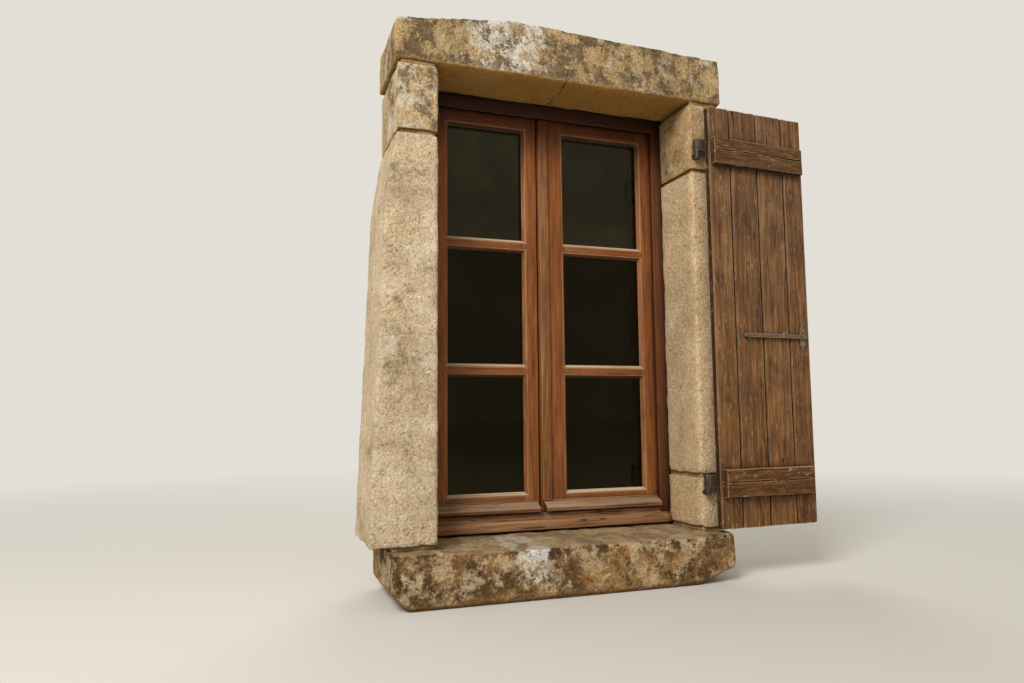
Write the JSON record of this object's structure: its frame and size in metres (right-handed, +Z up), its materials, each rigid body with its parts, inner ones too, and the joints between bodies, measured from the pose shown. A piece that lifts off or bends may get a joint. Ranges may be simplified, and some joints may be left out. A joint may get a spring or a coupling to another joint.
{
  "type": "shuttered casement window",
  "caption": "Cottage window in a dressed stone surround, with an inward opening wooden casement and a ledged plank shutter hung on iron pins.",
  "frame": {"origin": "on the flat bed of the sill stone, below the middle of the opening, in the plane of the dressed stone face", "axes": "+X along the wall to the shutter's side, +Y into the wall towards the room, +Z up"},
  "size_m": [1.4873, 0.3863, 1.755],
  "materials": {
    "dressed_stone": "rough granite, weathered",
    "lime_mortar": "rough lime mortar",
    "window_wood": "worn red-brown stain",
    "shutter_wood": "weathered brown",
    "window_glass": "clear, dark room behind",
    "window_iron": "dark worn paint",
    "shutter_iron": "rusty forged iron"
  },
  "bodies": {
    "surround": {"sill_stone": "dressed_stone", "lintel": "dressed_stone", "mortar_joints": "lime_mortar", "left_jamb_long": "dressed_stone", "left_jamb_upper": "dressed_stone", "right_jamb_lower": "dressed_stone", "right_jamb_long": "dressed_stone", "right_jamb_upper": "dressed_stone", "frame_head": "window_wood", "frame_sill": "window_wood", "frame_left_stile": "window_wood", "frame_right_stile": "window_wood", "frame_hinge_halves": "window_iron", "rod_keepers": "window_iron", "upper_pintle": "shutter_iron", "lower_pintle": "shutter_iron"},
    "left_sash": {"left_hinge_stile": "window_wood", "left_meeting_stile": "window_wood", "left_top_rail": "window_wood", "left_bottom_rail": "window_wood", "left_glazing_bars": "window_wood", "left_panes": "window_glass", "left_glazing_beads": "window_wood", "left_weather_bar": "window_wood", "left_hinge_halves": "window_iron"},
    "right_sash": {"right_hinge_stile": "window_wood", "right_meeting_stile": "window_wood", "right_top_rail": "window_wood", "right_bottom_rail": "window_wood", "right_glazing_bars": "window_wood", "right_panes": "window_glass", "right_glazing_beads": "window_wood", "right_weather_bar": "window_wood", "right_hinge_halves": "window_iron", "right_cover_strip": "window_wood", "bolt_case": "window_iron", "bolt_guides": "window_iron"},
    "knob": {"bolt_knob": "window_iron", "bolt_pinion": "window_iron"},
    "upper_rod": {"upper_rod": "window_iron"},
    "lower_rod": {"lower_rod": "window_iron"},
    "shutter": {"plank_1": "shutter_wood", "plank_2": "shutter_wood", "plank_3": "shutter_wood", "plank_4": "shutter_wood", "upper_ledge": "shutter_wood", "lower_ledge": "shutter_wood", "ledge_nails": "shutter_iron", "upper_strap": "shutter_iron", "lower_strap": "shutter_iron", "strap_nails": "shutter_iron", "latch_plate": "shutter_iron", "latch_plate_nails": "shutter_iron", "latch_pin": "shutter_iron", "latch_rest_hook": "shutter_iron"},
    "latch": {"latch_bar": "shutter_iron"}
  },
  "joints": [
    {"name": "shutter_hinge", "type": "hinge", "parent": "surround", "child": "shutter", "pos_m": [0.447, -0.014, 0.85], "axis": [0, 0, -1], "range_deg": [0, 183]},
    {"name": "left_sash_hinge", "type": "hinge", "parent": "surround", "child": "left_sash", "pos_m": [-0.408, 0.264, 0.869], "axis": [0, 0, 1], "range_deg": [0, 95]},
    {"name": "right_sash_hinge", "type": "hinge", "parent": "surround", "child": "right_sash", "pos_m": [0.408, 0.264, 0.869], "axis": [0, 0, -1], "range_deg": [0, 95]},
    {"name": "latch_pivot", "type": "hinge", "parent": "shutter", "child": "latch", "pos_m": [0.82689, -0.04015, 0.781], "axis": [-0.0523, 0.9986, 0], "range_deg": [0, 180]},
    {"name": "knob_turn", "type": "hinge", "parent": "right_sash", "child": "knob", "pos_m": [0.0125, 0.267, 0.795], "axis": [0, 1, 0], "range_deg": [0, 90]},
    {"name": "upper_rod_slide", "type": "slide", "parent": "right_sash", "child": "upper_rod", "axis": [0, 0, 1], "range_m": [0, 0.0126]},
    {"name": "lower_rod_slide", "type": "slide", "parent": "right_sash", "child": "lower_rod", "axis": [0, 0, -1], "range_m": [0, 0.0126]}
  ],
  "couplings": [
    {"joint": "upper_rod_slide", "follows": "knob_turn", "m_per_rad": 0.008},
    {"joint": "lower_rod_slide", "follows": "knob_turn", "m_per_rad": 0.008}
  ]
}
